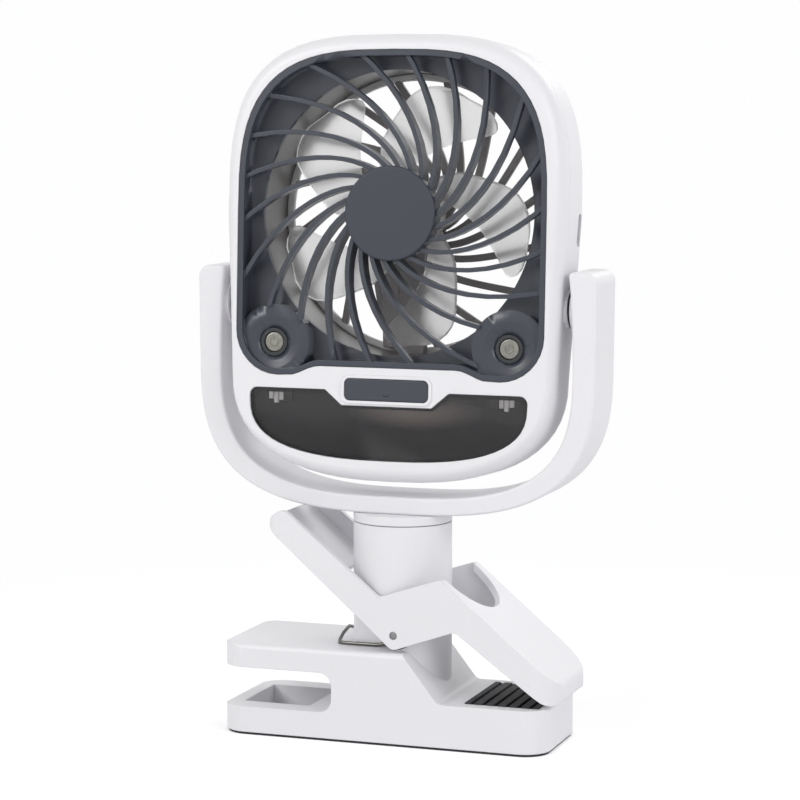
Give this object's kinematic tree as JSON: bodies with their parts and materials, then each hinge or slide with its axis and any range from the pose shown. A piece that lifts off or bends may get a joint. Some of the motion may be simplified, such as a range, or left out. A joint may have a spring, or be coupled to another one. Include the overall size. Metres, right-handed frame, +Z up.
{
  "type": "clip-on battery fan with lamp",
  "caption": "Clip-on battery fan: a rounded head with a swirled grille, lamp window and buttons tilts in a U-shaped yoke that swivels on a sprung clip base.",
  "frame": {"origin": "on the surface that the clip base stands on, straight under the swivel axis", "axes": "+Z up along the swivel axis, +X from the finger end of the clip base towards its jaw, -Y the way the fan blows at rest"},
  "size_m": [0.1872, 0.058, 0.3153],
  "materials": {
    "white_plastic": "satin",
    "slate_plastic": "fine satin texture",
    "blade_plastic": "satin, slightly translucent",
    "clear_nylon": "matte",
    "smoked_window": "polished, see-through",
    "reflector_plastic": "polished",
    "black_rubber": "matte",
    "black_plastic": "matte",
    "zinc_steel": "bright zinc",
    "spring_steel": "drawn wire",
    "motor_steel": "plated",
    "copper_wire": "enamelled",
    "button_metal": "spun, champagne",
    "circuit_board": "solder mask",
    "cell_wrap": "plastic sleeve",
    "led_white": "diffuse"
  },
  "bodies": {
    "clip_base": {"base_body": "white_plastic", "base_sole": "black_rubber", "sole_screws": "zinc_steel", "lower_jaw_pad": "black_rubber", "lever_pin": "zinc_steel", "clip_spring": "spring_steel", "swivel_bush": "clear_nylon"},
    "lever": {"lever": "white_plastic", "upper_jaw_pad": "black_rubber"},
    "yoke": {"yoke": "white_plastic", "swivel_collar": "white_plastic", "swivel_washer": "zinc_steel", "swivel_screw": "zinc_steel", "tilt_axles": "zinc_steel", "friction_washers": "black_rubber"},
    "head": {"front_bezel": "white_plastic", "rear_shell": "white_plastic", "tilt_bushes": "clear_nylon", "housing_screws": "zinc_steel", "front_grille": "slate_plastic", "hub_disc": "slate_plastic", "duct_ring": "white_plastic", "rear_grille": "slate_plastic", "motor_mount": "slate_plastic", "motor_can": "motor_steel", "button_rings": "slate_plastic", "control_board": "circuit_board", "tact_switches": "black_plastic", "charge_board": "circuit_board", "charge_socket": "zinc_steel", "battery_cells": "cell_wrap", "battery_holder": "black_plastic", "lamp_lens": "smoked_window", "lens_clips": "clear_nylon", "lamp_reflector": "reflector_plastic", "lamp_board": "circuit_board", "lamp_leds": "led_white"},
    "fan": {"fan_rotor": "blade_plastic", "motor_shaft": "motor_steel", "motor_armature": "copper_wire"},
    "fan_button": {"fan_button": "button_metal"},
    "light_button": {"light_button": "button_metal"},
    "mode_key": {"mode_key": "slate_plastic"}
  },
  "joints": [
    {"name": "lever_squeeze", "type": "hinge", "parent": "clip_base", "child": "lever", "pos_m": [0.0046, 0, 0.0496], "axis": [0, -1, 0], "range_deg": [0, 35], "stiffness_Nm_per_rad": 0.9, "springref_deg": -40.11, "deforming": ["clip_spring"]},
    {"name": "head_swivel", "type": "hinge", "parent": "clip_base", "child": "yoke", "pos_m": [0, 0, 0.1], "axis": [0, 0, 1], "continuous": true},
    {"name": "head_tilt", "type": "hinge", "parent": "yoke", "child": "head", "pos_m": [0, 0, 0.195], "axis": [1, 0, 0], "range_deg": [-87, 93]},
    {"name": "fan_spin", "type": "hinge", "parent": "head", "child": "fan", "pos_m": [0, 0.00213, 0.23564], "axis": [0, -0.9986, 0.0523], "continuous": true},
    {"name": "fan_button_press", "type": "slide", "parent": "head", "child": "fan_button", "axis": [0, 0.9986, -0.0523], "range_m": [0, 0.0008], "stiffness_N_per_m": 900},
    {"name": "light_button_press", "type": "slide", "parent": "head", "child": "light_button", "axis": [0, 0.9986, -0.0523], "range_m": [0, 0.0008], "stiffness_N_per_m": 900},
    {"name": "mode_key_press", "type": "slide", "parent": "head", "child": "mode_key", "axis": [0, 0.9986, -0.0523], "range_m": [0, 0.0008], "stiffness_N_per_m": 900}
  ]
}
